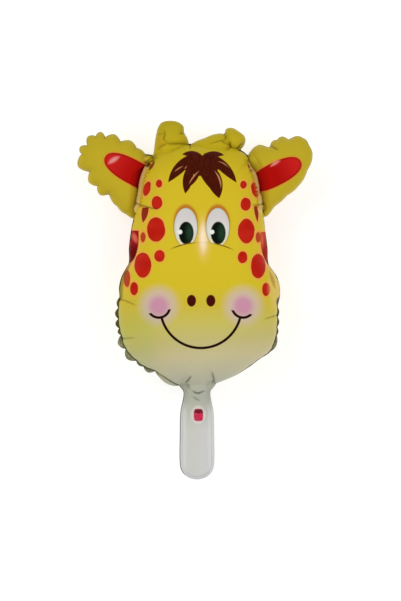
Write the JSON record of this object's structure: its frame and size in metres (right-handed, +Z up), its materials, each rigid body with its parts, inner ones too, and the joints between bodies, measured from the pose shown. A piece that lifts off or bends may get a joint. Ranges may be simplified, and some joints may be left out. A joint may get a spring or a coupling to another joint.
{
  "type": "giraffe foil balloon",
  "caption": "Inflated giraffe-head foil balloon lying on its back, with a puckered welded rim, ears, horns, a flat filler tail and a valve tab.",
  "frame": {"origin": "on the surface the balloon lies on, under the middle of its bounding box", "axes": "+Z up out of the printed face, +Y towards the horns, -Y towards the tail's end, +X towards the ear on the viewer's right"},
  "size_m": [0.2358, 0.3596, 0.0934],
  "materials": {
    "printed_foil": "metallised film printed yellow, satin gloss",
    "valve_film": "thin red film, gloss"
  },
  "bodies": {
    "root": {"foil_envelope": "printed_foil", "valve_tab": "valve_film"}
  },
  "joints": []
}
